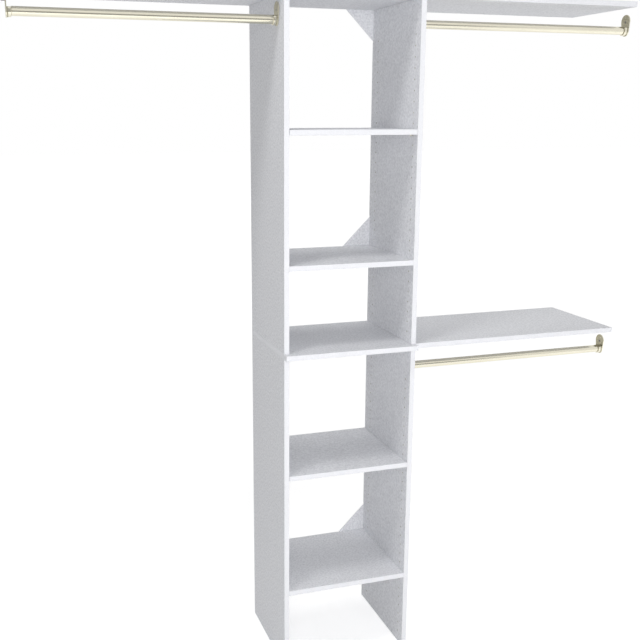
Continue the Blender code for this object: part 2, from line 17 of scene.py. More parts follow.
import bmesh
import bpy
import numpy as np
from mathutils import Euler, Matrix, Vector


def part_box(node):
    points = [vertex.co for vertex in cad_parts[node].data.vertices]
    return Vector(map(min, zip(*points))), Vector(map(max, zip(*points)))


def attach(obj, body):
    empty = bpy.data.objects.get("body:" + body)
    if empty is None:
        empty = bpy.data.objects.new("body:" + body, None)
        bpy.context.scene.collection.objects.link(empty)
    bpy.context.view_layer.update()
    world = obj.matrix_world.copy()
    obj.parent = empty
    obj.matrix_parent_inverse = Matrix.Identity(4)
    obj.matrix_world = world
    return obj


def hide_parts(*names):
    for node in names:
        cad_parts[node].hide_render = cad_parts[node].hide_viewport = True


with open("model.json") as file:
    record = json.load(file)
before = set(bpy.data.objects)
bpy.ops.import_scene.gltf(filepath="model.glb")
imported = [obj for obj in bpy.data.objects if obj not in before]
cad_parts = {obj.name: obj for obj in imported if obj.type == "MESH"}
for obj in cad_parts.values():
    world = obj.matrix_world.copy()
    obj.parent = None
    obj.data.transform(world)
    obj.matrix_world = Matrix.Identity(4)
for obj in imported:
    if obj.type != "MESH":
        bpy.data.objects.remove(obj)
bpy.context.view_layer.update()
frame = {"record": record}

log = logging.getLogger("closet_organizer")

Socket = bpy.types.NodeSocket
Tree = bpy.types.NodeTree
Array = np.ndarray
Box = tuple[Array, Array]
Point = tuple[float, float, float]

MM = 0.001
MERGE = 1e-6


def linear(hex_colour: str) -> tuple[float, float, float, float]:
    """Turn an sRGB hex colour into the linear values that a shader takes.

    Args:
        hex_colour: a colour such as "#F0F1F3".

    Returns:
        Red, green, blue and an alpha of one.
    """
    channels = np.array([int(hex_colour[at : at + 2], 16) for at in (1, 3, 5)]) / 255
    toe = channels / 12.92
    curve = ((channels + 0.055) / 1.055) ** 2.4
    return (*np.where(channels <= 0.04045, toe, curve).tolist(), 1.0)


def add_node(
    tree: Tree, kind: str, settings: dict | None = None, links: dict | None = None
) -> bpy.types.Node:
    """Add a node to a tree, with its settings and its links.

    Args:
        tree: the node tree.
        kind: the node's type.
        settings: values by the name of a property or by the name or number of an input.
        links: sockets to link from, by the name or number of an input.

    Returns:
        The node.
    """
    node = tree.nodes.new(kind)
    for key, value in (settings or {}).items():
        if isinstance(key, str) and hasattr(node, key):
            setattr(node, key, value)
        else:
            node.inputs[key].default_value = value
    for key, socket in (links or {}).items():
        tree.links.new(socket, node.inputs[key])
    return node


@dataclass(frozen=True)
class Finish:
    """A finish: two tones mottled by a grain, which may also vary the gloss and raise a relief.

    The grain is a blob's width. The relief has the same grain unless it is given its own.
    """

    name: str
    roughness: float
    dark: str
    light: str
    grain: float
    metallic: float = 0.0
    specular: float = 0.5
    detail: float = 3.0
    stretch: Point = (1, 1, 1)
    gloss_swing: float = 0.0
    relief: float = 0.0
    relief_strength: float = 0.0
    relief_grain: float = 0.0

    FINE_DETAIL = 3.0
    NOISE_ROUGHNESS = 0.55
    NOISE_MIDDLE = (0.3, 0.7)

    def material(self) -> bpy.types.Material:
        """Make this finish's material, or return the one made before.

        Returns:
            The material.
        """
        made = bpy.data.materials.get(self.name)
        if made is None:
            made = bpy.data.materials.new(self.name)
            made.use_nodes = True
            self.dress(made.node_tree)
        return made

    def noise(self, tree: Tree, place: Socket, width: float, detail: float) -> Socket:
        """Add noise whose blobs are about as wide as given, times the finish's stretch.

        Args:
            tree: the node tree.
            place: the piece's own coordinates, in metres.
            width: a blob's width.
            detail: how many finer noises are laid over the first.

        Returns:
            The noise, from 0 to 1 and mostly near the middle.
        """
        scale = tuple(1 / (width * times) for times in self.stretch)
        mapped = add_node(tree, "ShaderNodeMapping", {"Scale": scale}, {"Vector": place})
        texture = {"Scale": 1.0, "Detail": detail, "Roughness": self.NOISE_ROUGHNESS}
        links = {"Vector": mapped.outputs[0]}
        return add_node(tree, "ShaderNodeTexNoise", texture, links).outputs["Fac"]

    def between(self, tree: Tree, noise: Socket, low: float, high: float) -> Socket:
        """Spread the middle of a noise evenly between two values.

        Args:
            tree: the node tree.
            noise: the noise.
            low: the value at its low end.
            high: the value at its high end.

        Returns:
            The spread value.
        """
        start, end = self.NOISE_MIDDLE
        ends = {"From Min": start, "From Max": end, "To Min": low, "To Max": high}
        return add_node(tree, "ShaderNodeMapRange", ends, {"Value": noise}).outputs["Result"]

    def dress(self, tree: Tree) -> None:
        """Set the shader and link the tones, the gloss and the relief to it.

        Args:
            tree: the material's node tree.
        """
        inputs = tree.nodes["Principled BSDF"].inputs
        inputs["Roughness"].default_value = self.roughness
        inputs["Metallic"].default_value = self.metallic
        inputs["Specular IOR Level"].default_value = self.specular
        place = add_node(tree, "ShaderNodeTexCoord").outputs["Object"]
        noise = self.noise(tree, place, self.grain, self.detail)
        tones = {"data_type": "RGBA", 6: linear(self.dark), 7: linear(self.light)}
        colour = add_node(tree, "ShaderNodeMix", tones, {0: self.between(tree, noise, 0.0, 1.0)})
        tree.links.new(colour.outputs[2], inputs["Base Color"])
        if self.gloss_swing:
            ends = (self.roughness - self.gloss_swing, self.roughness + self.gloss_swing)
            tree.links.new(self.between(tree, noise, *ends), inputs["Roughness"])
        if self.relief:
            if self.relief_grain:
                noise = self.noise(tree, place, self.relief_grain, self.FINE_DETAIL)
            settings = {"Strength": self.relief_strength, "Distance": self.relief}
            bump = add_node(tree, "ShaderNodeBump", settings, {"Height": noise})
            tree.links.new(bump.outputs[0], inputs["Normal"])


@dataclass(frozen=True)
class MelamineLaminate(Finish):
    """White melamine paper pressed on particle board between textured plates.

    The plates leave a fine pebble that breaks up reflections, so the face looks matt and slightly
    mottled, with a cool tint. The real pebble is 0.8 mm wide; the mottle is drawn 6 mm wide so that
    it shows.
    """

    name: str = "white_melamine_laminate"
    roughness: float = 0.58
    specular: float = 0.1
    dark: str = "#DBDCE0"
    light: str = "#F5F6F9"
    grain: float = 6 * MM
    detail: float = 1.5
    gloss_swing: float = 0.05
    relief: float = 0.05 * MM
    relief_strength: float = 0.35
    relief_grain: float = 0.8 * MM


@dataclass(frozen=True)
class EdgeBand(Finish):
    """White plastic edge band, extruded and ironed on: the faces' white, a little smoother.

    The roller that pressed it on leaves a faint ripple, about 4 mm wide.
    """

    name: str = "white_edge_band"
    roughness: float = 0.5
    specular: float = 0.25
    dark: str = "#E6E7EB"
    light: str = "#EDEEF2"
    grain: float = 4 * MM
    relief: float = 0.03 * MM
    relief_strength: float = 0.2


@dataclass(frozen=True)
class ParticleCore(Finish):
    """Raw particle board, where a drill went through the laminate: pressed chips, quite rough.

    The chips are about 2 mm wide. The core is drawn paler and greyer than raw board: painted light
    that lifts some of the shade deep in the drilled holes.
    """

    name: str = "raw_particle_board"
    roughness: float = 0.85
    # Paler than raw board: painted light that lifts the shade in the holes.
    dark: str = "#A6A299"
    light: str = "#CBC7BF"
    grain: float = 2 * MM
    relief: float = 0.3 * MM
    relief_strength: float = 0.8


@dataclass(frozen=True)
class SatinNickel(Finish):
    """Satin champagne nickel plated on steel tubes and pins, and polished on castings' edges, where
    its brighter tone is in part a painted highlight.

    Polishing along the tube leaves hair lines some 0.2 mm apart, drawn 0.6 mm apart here.
    """

    name: str = "satin_champagne_nickel"
    roughness: float = 0.19
    metallic: float = 1.0
    dark: str = "#D8D3C0"
    light: str = "#EAE6D5"
    grain: float = 0.6 * MM
    stretch: Point = (120.0, 1, 1)
    gloss_swing: float = 0.06


@dataclass(frozen=True)
class TumbledNickel(Finish):
    """Champagne nickel plated over a tumbled zinc casting, on the casting's faces; its edges wear
    the brighter polished satin nickel.

    On the faces the casting's skin shows through: a duller, darker olive grey, clouded. This darker
    tone is in part painted shade, and the bright polished edges beside it are in part a painted
    highlight.
    The real clouds are about 2 mm wide, drawn 4 mm wide here.
    """

    name: str = "tumbled_champagne_nickel"
    roughness: float = 0.42
    metallic: float = 1.0
    # The darker olive tones of the faces are in part painted shade.
    dark: str = "#8C8771"
    light: str = "#C6C1AA"
    grain: float = 4 * MM
    gloss_swing: float = 0.05
    relief: float = 0.05 * MM
    relief_strength: float = 0.4


@dataclass(frozen=True)
class ZincPlate(Finish):
    """Bright zinc plate on steel screws, gone dull: mid grey, with the bath's 1.5 mm clouds."""

    name: str = "bright_zinc_plate"
    roughness: float = 0.38
    metallic: float = 1.0
    dark: str = "#6A6966"
    light: str = "#91908C"
    grain: float = 1.5 * MM
    gloss_swing: float = 0.08


@dataclass(frozen=True)
class ZincCasting(Finish):
    """Zinc die casting as it leaves the die: dull grey, with the die's fine orange peel."""

    name: str = "zinc_die_casting"
    roughness: float = 0.5
    metallic: float = 1.0
    dark: str = "#86888B"
    light: str = "#A6A8AA"
    grain: float = 0.5 * MM
    relief: float = 0.05 * MM
    relief_strength: float = 0.5


NICKEL = SatinNickel()
SHADED_CAST_NICKEL = TumbledNickel()
ZINC = ZincPlate()
CASTING = ZincCasting()
BOARD_FINISHES = (MelamineLaminate(), EdgeBand(), ParticleCore())


class Slot(enum.Enum):
    """The record's material slots."""

    LAMINATE = "white_laminate"
    NICKEL = "satin_nickel"
    SCREW = "zinc_plated_steel"
    CASTING = "zinc_casting"


class Side(enum.Enum):
    """The two sides of the tower, as the sign of X."""

    LEFT = -1
    RIGHT = 1

    @property
    def word(self) -> str:
        """The side's name in the frame's node names."""
        return self.name.lower()

    @property
    def outwards(self) -> Array:
        """The direction away from the tower."""
        return np.array([float(self.value), 0.0, 0.0])


class Lie(enum.Enum):
    """How a board lies: the row axes of its length, its width and its thickness."""

    UPRIGHT = (1, 2, 0)
    LEVEL = (0, 1, 2)
    BRACE = (0, 2, 1)

    def points(self, u: Array, v: Array, w: Array) -> Array:
        """Put coordinates along the board's own axes in row order.

        Args:
            u: places along its length.
            v: places along its width.
            w: places through its thickness.

        Returns:
            Points in the row frame, with X, Y and Z last.
        """
        u, v, w = np.broadcast_arrays(u, v, w)
        made = np.empty((*u.shape, 3))
        for axis, values in zip(self.value, (u, v, w)):
            made[..., axis] = values
        return made


def neighbours(index: Array) -> Array:
    """Join each four neighbours in a grid of point numbers into a quad."""
    quad = (index[:-1, :-1], index[1:, :-1], index[1:, 1:], index[:-1, 1:])
    return np.stack(quad, axis=-1)


@dataclass
class Shell:
    """A mesh in the making: its points, its faces, and each face's finish and shading."""

    points: list[Array] = field(default_factory=list)
    faces: list[list[int]] = field(default_factory=list)
    finishes: list[int] = field(default_factory=list)
    smooth: list[bool] = field(default_factory=list)
    count: int = 0

    def add_faces(
        self, points: Array, faces: Array, finish: int = 0, smooth: bool = False
    ) -> None:
        """Add faces on new points.

        Args:
            points: the points, with X, Y and Z last.
            faces: rows of numbers into the points.
            finish: which of the piece's finishes the faces wear.
            smooth: whether they are shaded smooth.
        """
        flat = points.reshape(-1, 3)
        self.points.append(flat)
        self.faces.extend((faces + self.count).tolist())
        self.finishes.extend([finish] * len(faces))
        self.smooth.extend([smooth] * len(faces))
        self.count += len(flat)

    def add_grid(
        self, grid: Array, finish: int = 0, smooth: bool = True, closed: bool = True
    ) -> None:
        """Add a surface of two parameters: a quad between each four neighbours of a grid.

        Args:
            grid: points in rows and columns.
            finish: which of the piece's finishes the faces wear.
            smooth: whether they are shaded smooth.
            closed: whether the last column meets the first.
        """
        index = np.arange(grid.shape[0] * grid.shape[1]).reshape(grid.shape[:2])
        if closed:
            index = np.hstack([index, index[:, :1]])
        self.add_faces(grid, neighbours(index).reshape(-1, 4), finish, smooth)

    def add_cap(self, loop: Array, finish: int = 0) -> None:
        """Close a flat loop of points with one face of the finish."""
        self.add_faces(loop, np.arange(len(loop))[None], finish)

    def mesh(self, name: str, finishes: tuple[Finish, ...]) -> bpy.types.Mesh:
        """Put the faces into a mesh, with its doubles merged and its normals outwards.

        Args:
            name: the mesh's name.
            finishes: its finishes, in the order of the faces' numbers.

        Returns:
            The mesh.
        """
        mesh = bpy.data.meshes.new(name)
        mesh.from_pydata(np.concatenate(self.points).tolist(), [], self.faces)
        mesh.polygons.foreach_set("material_index", self.finishes)
        mesh.polygons.foreach_set("use_smooth", self.smooth)
        bm = bmesh.new()
        bm.from_mesh(mesh)
        bmesh.ops.remove_doubles(bm, verts=bm.verts, dist=MERGE)
        bmesh.ops.dissolve_degenerate(bm, edges=bm.edges, dist=MERGE / 10)
        bmesh.ops.recalc_face_normals(bm, faces=bm.faces)
        bm.to_mesh(mesh)
        bm.free()
        for finish in finishes:
            mesh.materials.append(finish.material())
        return mesh

    def piece(
        self, name: str, finishes: tuple[Finish, ...], slot: Slot, *nodes: str
    ) -> bpy.types.Object:
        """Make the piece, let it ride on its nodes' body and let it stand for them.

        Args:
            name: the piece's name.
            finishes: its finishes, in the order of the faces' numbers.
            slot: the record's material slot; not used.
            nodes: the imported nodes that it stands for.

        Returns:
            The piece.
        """
        mesh = self.mesh(name, finishes)
        made = bpy.data.objects.new(name, mesh)
        bpy.context.scene.collection.objects.link(made)
        bodies = frame["record"]["behaviour"]["bodies"]
        body = next(body for body, held in bodies.items() if nodes[0] in held)
        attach(made, body)
        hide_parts(*nodes)
        log.info("%s: %d faces, rides on %s", name, len(mesh.polygons), body)
        return made


def full_turn(count: int) -> Array:
    """Divide a full turn into equal angles, without its end."""
    return np.linspace(0, 2 * math.pi, count, endpoint=False)


def quarter_round(radius: float, steps: int) -> tuple[Array, Array]:
    """Run a quarter of a circle from a face round to its edge.

    Out grows as the sine of the angle and down as one less its cosine.

    Args:
        radius: the circle's radius.
        steps: how many straight steps it takes.

    Returns:
        How far out and how far down each point lies.
    """
    angle = np.linspace(0, math.pi / 2, steps + 1)
    return radius * np.sin(angle), radius * (1 - np.cos(angle))


@dataclass(frozen=True)
class Drilling:
    """Equal holes in one face of a board, at every crossing of two rows of centres.

    Each hole sits in a square cell of the face. The cell's border has 16 points, 4 to a side, and
    each is joined to the hole's own ring of 16. The profile holds radii and depths.
    """

    centres_u: tuple[float, ...]
    centres_v: tuple[float, ...]
    cell: float
    profile: tuple[tuple[float, float], ...]
    in_high_face: bool

    SIDE_STEPS = 4
    BLOCK = SIDE_STEPS + 1
    BORDER = (
        (4, 2), (4, 3), (4, 4), (3, 4), (2, 4), (1, 4), (0, 4), (0, 3),
        (0, 2), (0, 1), (0, 0), (1, 0), (2, 0), (3, 0), (4, 0), (4, 1),
    )  # fmt: skip

    def lines(self, outline: Array) -> list[Array]:
        """Find where the face's grid lines lie along its length and its width.

        Args:
            outline: the face's outline.

        Returns:
            For each axis the face's ends, with five lines across each cell between them.
        """
        across = np.linspace(-self.cell, self.cell, self.BLOCK)
        made = []
        for centres, places in zip((self.centres_u, self.centres_v), outline.T):
            cells = np.sort((np.array(centres)[:, None] + across).ravel())
            made.append(np.concatenate([[places.min()], cells, [places.max()]]))
        return made

    def holes(self, u_lines: Array, v_lines: Array) -> tuple[Array, Array, Array]:
        """Work out every hole's rings, from its cell's border down to the middle of its bottom.

        A ring's point is the centre plus the radius times the cosine and sine of its angle.

        Args:
            u_lines: the grid lines along the board's length.
            v_lines: the grid lines along its width.

        Returns:
            Length, width and depth of each point, by hole, ring and angle.
        """
        first_u = 1 + self.BLOCK * np.arange(len(self.centres_u))
        first_v = 1 + self.BLOCK * np.arange(len(self.centres_v))
        crossings = np.meshgrid(first_u, first_v, indexing="ij")
        at_u, at_v = (grid.ravel()[:, None] for grid in crossings)
        step_u, step_v = np.array(self.BORDER).T
        border_u, border_v = u_lines[at_u + step_u], v_lines[at_v + step_v]
        middle = self.SIDE_STEPS // 2
        angle = full_turn(len(self.BORDER))
        radius, depth = np.array(self.profile).T[:, None, :, None]
        ring_u = u_lines[at_u + middle][:, None] + radius * np.cos(angle)
        ring_v = v_lines[at_v + middle][:, None] + radius * np.sin(angle)
        u = np.concatenate([border_u[:, None], ring_u], axis=1)
        v = np.concatenate([border_v[:, None], ring_v], axis=1)
        w = np.concatenate([np.zeros((1, 1, 1)), depth], axis=1)
        return u, v, np.broadcast_to(w, u.shape)


@dataclass(frozen=True)
class Board:
    """A laminated board: faces, a band round its edge, eased arrises and any drilled holes."""

    lie: Lie
    outline: Array
    low: float
    high: float
    drilling: Drilling | None = None
    arris: float = 0.6 * MM
    arris_steps: int = 3

    FACE = 0
    EDGE = 1
    RAW = 2

    @classmethod
    def rectangle(
        cls, lie: Lie, low: Array, high: Array, drilling: Drilling | None = None
    ) -> Board:
        """Make a rectangular board between two corners.

        Args:
            lie: how the board lies.
            low: its lowest corner in the row frame.
            high: its highest corner.
            drilling: holes in one face.

        Returns:
            The board.
        """
        u, v, w = lie.value
        loop = [(low[u], low[v]), (high[u], low[v]), (high[u], high[v]), (low[u], high[v])]
        return cls(lie, np.array(loop), low[w], high[w], drilling)

    def mitres(self) -> Array:
        """Find which way each corner moves when the outline is drawn in.

        The mitre is the sum of both edges' outward normals over one plus their product.

        Returns:
            A vector for each corner, as long as the corner moves for each metre drawn in.
        """
        edge = np.roll(self.outline, -1, axis=0) - self.outline
        turn = np.sign(np.cross(edge[0], edge[1]))
        normal = turn * np.stack([edge[:, 1], -edge[:, 0]], axis=1)
        normal /= np.linalg.norm(normal, axis=1)[:, None]
        before = np.roll(normal, 1, axis=0)
        return (normal + before) / (1 + (normal * before).sum(axis=1))[:, None]

    def add_rim(self, shell: Shell, loop: Array, mitre: Array) -> None:
        """Carry the edge's section round the board: an arris, the band and an arris.

        Args:
            shell: the mesh in the making.
            loop: the faces' own outline, which lies within the board's.
            mitre: how the loop's points move outwards.
        """
        out, down = quarter_round(self.arris, self.arris_steps)
        out = np.concatenate([out, out[::-1]])
        level = np.concatenate([self.high - down, self.low + down[::-1]])
        rim = loop[None] + out[:, None, None] * mitre[None]
        grid = self.lie.points(rim[..., 0], rim[..., 1], level[:, None])
        half = self.arris_steps + 1
        shell.add_grid(grid[:half], self.EDGE)
        shell.add_grid(grid[half - 1 : half + 1], self.EDGE, smooth=False)
        shell.add_grid(grid[half:], self.EDGE)

    def shell(self) -> Shell:
        """Work the board's surface out.

        Returns:
            The mesh in the making.
        """
        shell = Shell()
        mitre = self.mitres()
        inner = self.outline - self.arris * mitre
        if self.drilling is None:
            self.add_rim(shell, inner, mitre)
            for level in (self.low, self.high):
                shell.add_cap(self.lie.points(inner[:, 0], inner[:, 1], level), self.FACE)
            return shell
        lines = self.drilling.lines(inner)
        self.add_drilled_rim(shell, *lines)
        self.add_drilled_faces(shell, *lines)
        return shell

    def add_drilled_rim(self, shell: Shell, u_lines: Array, v_lines: Array) -> None:
        """Carry the rim round every grid point on the faces' border.

        Args:
            shell: the mesh in the making.
            u_lines: the grid lines along the board's length.
            v_lines: the grid lines along its width.
        """
        far_u, far_v = len(u_lines) - 1, len(v_lines) - 1
        go_u, go_v = np.arange(far_u), np.arange(far_v)
        at_u = np.concatenate([go_u, np.full(far_v, far_u), far_u - go_u, np.zeros(far_v, int)])
        at_v = np.concatenate([np.zeros(far_u, int), go_v, np.full(far_u, far_v), far_v - go_v])
        sign_u = (at_u == far_u).astype(float) - (at_u == 0)
        sign_v = (at_v == far_v).astype(float) - (at_v == 0)
        loop = np.stack([u_lines[at_u], v_lines[at_v]], axis=1)
        self.add_rim(shell, loop, np.stack([sign_u, sign_v], axis=1))

    def add_drilled_faces(self, shell: Shell, u_lines: Array, v_lines: Array) -> None:
        """Lay both faces as grids, with the holes sunk in one of them.

        Args:
            shell: the mesh in the making.
            u_lines: the grid lines along the board's length.
            v_lines: the grid lines along its width.
        """
        drilling = self.drilling
        sunk, whole = self.low, self.high
        if drilling.in_high_face:
            sunk, whole = whole, sunk
        inwards = np.sign(whole - sunk)
        count_u, count_v = len(u_lines), len(v_lines)
        quads = neighbours(np.arange(count_u * count_v).reshape(count_u, count_v))
        in_u = np.arange(count_u - 1) % drilling.BLOCK != 0
        in_v = np.arange(count_v - 1) % drilling.BLOCK != 0
        kept = ~(in_u[:, None] & in_v[None])
        for level, faces in ((sunk, quads[kept]), (whole, quads.reshape(-1, 4))):
            grid = self.lie.points(u_lines[:, None], v_lines[None], level)
            shell.add_faces(grid, faces, self.FACE)
        u, v, depth = drilling.holes(u_lines, v_lines)
        for hole in self.lie.points(u, v, sunk + inwards * depth):
            shell.add_grid(hole[:2], self.FACE, smooth=False)
            shell.add_grid(hole[1:], self.RAW)

    def piece(self, node: str) -> bpy.types.Object:
        """Make the board and let it stand for its node."""
        return self.shell().piece(f"{node}_board", BOARD_FINISHES, Slot.LAMINATE, node)


def corners(node: str) -> Box:
    """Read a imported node's lowest and highest corner as arrays."""
    return tuple(np.array(corner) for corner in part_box(node))


def cut_out(board: bpy.types.Object, boxes: list[Box]) -> None:
    """Cut boxes out of a board's mesh and leave its raw core in the cuts.

    Args:
        board: the board's piece.
        boxes: the lowest and highest corners of each box.
    """
    cutter = Shell()
    for box in boxes:
        x, y, z = np.stack(box).T
        loops = np.broadcast_arrays(x[[0, 1, 1, 0]], y[[0, 0, 1, 1]], z[:, None])
        rings = np.stack(loops, axis=-1)
        cutter.add_grid(rings, Board.RAW, smooth=False)
        for ring in rings:
            cutter.add_cap(ring, Board.RAW)
    tool = bpy.data.objects.new("rebate_cutter", cutter.mesh("rebate_cutter", BOARD_FINISHES))
    cut = board.modifiers.new("rebates", "BOOLEAN")
    cut.solver = "EXACT"
    cut.object = tool
    evaluated = board.evaluated_get(bpy.context.evaluated_depsgraph_get())
    board.data = bpy.data.meshes.new_from_object(evaluated)
    board.modifiers.clear()
    bpy.data.objects.remove(tool)


@dataclass(frozen=True)
class Layout:
    """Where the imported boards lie, with the dowels that some of them carry left out."""

    gap: float
    half_width: float
    inner_x: float
    back_y: float
    front_y: float
    middle_low: float

    @classmethod
    def read(cls) -> Layout:
        """Read the layout from the frame.

        Returns:
            The layout.
        """
        panel_low, panel_high = corners("upper_right_panel")
        middle_low, middle_high = corners("middle_shelf")
        return cls(
            gap=panel_low[2] - middle_high[2],
            half_width=panel_high[0],
            inner_x=panel_low[0],
            back_y=panel_high[1],
            front_y=panel_low[1],
            middle_low=middle_low[2],
        )


@dataclass(frozen=True)
class Tower:
    """The four drilled side panels, and the shelves and the top between and on them."""

    layout: Layout
    rebates: list[Box]
    pin_pitch: float = 32 * MM
    pin_holes: int = 29
    first_lower_hole: float = 39 * MM
    first_upper_hole: float = 34 * MM
    front_row_inset: float = 34 * MM
    back_row_inset: float = 46 * MM
    hole_radius: float = 2.5 * MM
    hole_depth: float = 10 * MM
    hole_cell: float = 8 * MM
    cam_inset: float = 24 * MM
    recess_radius: float = 7.5 * MM
    recess_depth: float = 12.6 * MM
    recess_cell: float = 12 * MM
    screw_inset: float = 50 * MM
    sink_radius: float = 4.8 * MM
    sink_depth: float = 2.8 * MM
    sink_cell: float = 6.2 * MM
    pilot_radius: float = 2.7 * MM
    rim: float = 0.2 * MM

    def rows(self, front: float, back: float) -> tuple[float, float]:
        """Find the front and the back row from how far they are inset."""
        return (self.layout.front_y + front, self.layout.back_y - back)

    def hole_profile(self, radius: float, depth: float) -> tuple[tuple[float, float], ...]:
        """Return a blind hole's radii and depths, from its broken rim to its bottom."""
        return ((radius + self.rim, 0.0), (radius, self.rim), (radius, depth), (0.0, depth))

    def build(self) -> None:
        """Build the panels, the fixed and the loose shelves, the middle shelf and the top."""
        for level in ("lower", "upper"):
            for side in Side:
                self.place(self.panel(level, side), f"{level}_{side.word}_panel")
            self.place(self.fixed_shelf(level), f"{level}_fixed_shelf")
            loose = f"{level}_adjustable_shelf"
            self.place(Board.rectangle(Lie.LEVEL, *corners(loose)), loose)
        self.place(Board.rectangle(Lie.LEVEL, *corners("middle_shelf")), "middle_shelf")
        self.place(self.top(), "tower_top")

    def place(self, board: Board, node: str) -> None:
        """Make a board's piece and cut the rebates that reach into it.

        Args:
            board: the board.
            node: the node that it stands for.
        """
        low, high = corners(node)
        met = [box for box in self.rebates if np.all(box[0] < high) and np.all(box[1] > low)]
        piece = board.piece(node)
        if met:
            cut_out(piece, met)

    def panel(self, level: str, side: Side) -> Board:
        """Make a side panel, drilled on its inner face.

        Args:
            level: "lower" or "upper".
            side: the side of the tower.

        Returns:
            The board.
        """
        low, high = corners(f"{level}_{side.word}_panel")
        first = low[2] + self.first_upper_hole
        if level == "lower":
            first = low[2] + self.first_lower_hole
            high[2] = self.layout.middle_low - self.layout.gap
        drilling = Drilling(
            centres_u=self.rows(self.front_row_inset, self.back_row_inset),
            centres_v=tuple(first + self.pin_pitch * np.arange(self.pin_holes)),
            cell=self.hole_cell,
            profile=self.hole_profile(self.hole_radius, self.hole_depth),
            in_high_face=side is Side.LEFT,
        )
        return Board.rectangle(Lie.UPRIGHT, low, high, drilling)

    def fixed_shelf(self, level: str) -> Board:
        """Make a fixed shelf, with its cam recesses in the underside.

        Args:
            level: "lower" or "upper".

        Returns:
            The board.
        """
        low, high = corners(f"{level}_fixed_shelf")
        drilling = Drilling(
            centres_u=(low[0] + self.cam_inset, high[0] - self.cam_inset),
            centres_v=self.rows(self.front_row_inset, self.back_row_inset),
            cell=self.recess_cell,
            profile=self.hole_profile(self.recess_radius, self.recess_depth),
            in_high_face=False,
        )
        return Board.rectangle(Lie.LEVEL, low, high, drilling)

    def top(self) -> Board:
        """Make the tower's top, with the countersinks of its four screws.

        Returns:
            The board.
        """
        low, high = corners("tower_top")
        line = (self.layout.inner_x + self.layout.half_width) / 2
        bottom = high[2] - low[2] - self.layout.gap
        sink = ((self.sink_radius, 0.0), (self.pilot_radius, self.sink_depth))
        drilling = Drilling(
            centres_u=(-line, line),
            centres_v=self.rows(self.screw_inset, self.screw_inset),
            cell=self.sink_cell,
            profile=(*sink, (self.pilot_radius, bottom), (0.0, bottom)),
            in_high_face=True,
        )
        return Board.rectangle(Lie.LEVEL, low, high, drilling)


@dataclass(frozen=True)
class SideShelves:
    """The long shelves that butt the tower on both sides."""

    layout: Layout

    def build(self) -> None:
        """Build the three side shelves."""
        for side, level in ((Side.LEFT, "top"), (Side.RIGHT, "top"), (Side.RIGHT, "middle")):
            node = f"{side.word}_{level}_shelf"
            low, high = corners(node)
            near = side.value * (self.layout.half_width + self.layout.gap)
            (high if side is Side.LEFT else low)[0] = near
            Board.rectangle(Lie.LEVEL, low, high).piece(node)


@dataclass(frozen=True)
class Gussets:
    """The thin triangular gussets in the tower's back corners, each glued in a rebate."""

    layout: Layout
    arris: float = 0.15 * MM
    cutter_overrun: float = 1 * MM

    LEVELS = ("top", "upper_shelf", "lower_shelf")

    def build(self) -> None:
        """Build the six gussets: one pair under the top and one on each fixed shelf."""
        for level, side in itertools.product(self.LEVELS, Side):
            node = f"{level}_{side.word}_gusset"
            low, high = corners(node)
            corner_x, tip_x = (low[0], high[0]) if side is Side.LEFT else (high[0], low[0])
            corner_z, tip_z = (high[2], low[2]) if level == "top" else (low[2], high[2])
            outline = np.array([(corner_x, corner_z), (tip_x, corner_z), (corner_x, tip_z)])
            Board(Lie.BRACE, outline, low[1], high[1], arris=self.arris).piece(node)

    def rebates(self) -> list[Box]:
        """Find the rebates round the gussets, open at the back.

        Returns:
            The lowest and highest corners of each rebate.
        """
        boxes = []
        for level, side in itertools.product(self.LEVELS, Side):
            low, high = corners(f"{level}_{side.word}_gusset")
            high[1] += self.cutter_overrun
            boxes.append((low - self.layout.gap, high + self.layout.gap))
        return boxes


@dataclass(frozen=True)
class Stand:
    """A fitting's own frame: where it stands and which way it points, with its Y upwards."""

    origin: Array
    outwards: Array
    up: Array = field(default_factory=lambda: np.array([0.0, 0.0, 1.0]))

    def place(self, points: Array) -> Array:
        """Take points from the fitting's frame, Z outwards, to the row frame."""
        turn = np.stack([np.cross(self.up, self.outwards), self.up, self.outwards])
        return self.origin + points @ turn


def polar(radius: Array, angle: Array, height: Array) -> Array:
    """Turn distance from the Z axis, angle from X and height into points."""
    x, y = radius * np.cos(angle), radius * np.sin(angle)
    return np.stack(np.broadcast_arrays(x, y, height), axis=-1)


def turned(profile: Iterable[tuple[float, float]], sides: int) -> Array:
    """Turn a profile of radii and heights round the Z axis, as rings of points."""
    radius, height = np.array(profile).T[..., None]
    return polar(radius, full_turn(sides), height)


def ease(value: Array, low: float, high: float) -> Array:
    """Rise smoothly from 0 at low to 1 at high, as three squares less two cubes."""
    share = np.clip((value - low) / (high - low), 0, 1)
    return share**2 * (3 - 2 * share)


@dataclass(frozen=True)
class CrossRecess:
    """A cross recess in a round head, with its sizes as shares of the head's radius.

    Each arm is full depth within its half width and fades towards its end.
    """

    depth: float
    arm: float = 0.62
    half_width: float = 0.13
    fade: float = 0.4

    def sunk(self, radius: Array, angle: Array, head: float) -> Array:
        """Work out how deep the recess is.

        Args:
            radius: the distance from the middle.
            angle: the angle from X.
            head: the head's radius.

        Returns:
            The depth at each point, below zero.
        """
        x, y = np.abs(radius * np.cos(angle)), np.abs(radius * np.sin(angle))
        arm, wide = self.arm * head, self.half_width * head
        walls = (wide * (1 - self.fade), wide * (1 + self.fade))
        ends = (arm * (1 - self.fade), arm)
        along_x = (1 - ease(y, *walls)) * (1 - ease(x, *ends))
        along_y = (1 - ease(x, *walls)) * (1 - ease(y, *ends))
        return -self.depth * np.maximum(along_x, along_y)


